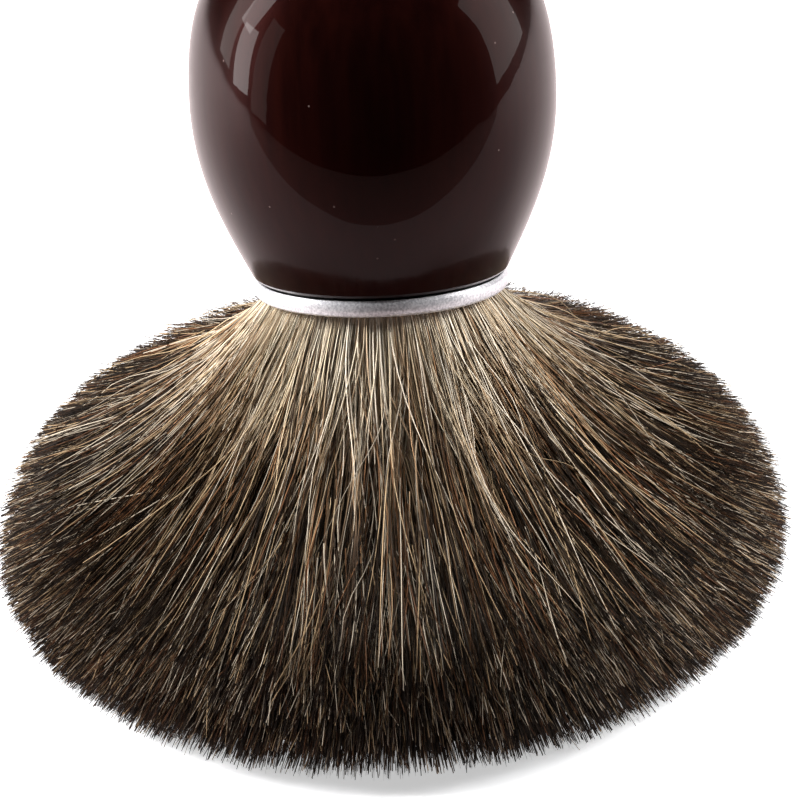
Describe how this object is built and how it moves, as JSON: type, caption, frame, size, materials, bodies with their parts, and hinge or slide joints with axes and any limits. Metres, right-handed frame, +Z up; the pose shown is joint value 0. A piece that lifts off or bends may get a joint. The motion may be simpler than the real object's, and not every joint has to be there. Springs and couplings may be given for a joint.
{
  "type": "shaving brush",
  "caption": "Shaving brush standing on its splayed badger hair, with a leaning lacquered wood handle and a chrome collar ring.",
  "frame": {"origin": "centre of the splayed hair, on the surface that it stands on", "axes": "+Z up, +Y the way the handle leans, which is away from the viewer, +X to the viewer's right"},
  "size_m": [0.0848, 0.0848, 0.0943],
  "materials": {
    "lacquered_wood": "high gloss clear lacquer over dark red-brown wood",
    "polished_chrome": "polished, with fine turning lines",
    "black_plastic": "moulded, matte",
    "cured_epoxy": "cured clear amber glue",
    "cast_resin": "cast amber resin",
    "cotton_thread": "waxed twisted thread",
    "badger_root_hair": "packed cream hair roots",
    "badger_hair": "fine natural hair, cream at the roots, brown and black outward"
  },
  "bodies": {
    "knot": {"free_hair": "badger_hair"},
    "handle": {"handle_body": "lacquered_wood", "collar_ring": "polished_chrome", "knot_cup": "black_plastic", "adhesive_bed": "cured_epoxy", "root_plug": "cast_resin", "root_binding": "cotton_thread", "root_bundle": "badger_root_hair"}
  },
  "joints": [
    {"name": "press", "type": "slide", "parent": "knot", "child": "handle", "axis": [0, 0, -1], "range_m": [0, 0.006], "stiffness_N_per_m": 350, "springref_m": -0.003, "deforming": ["free_hair"]}
  ]
}
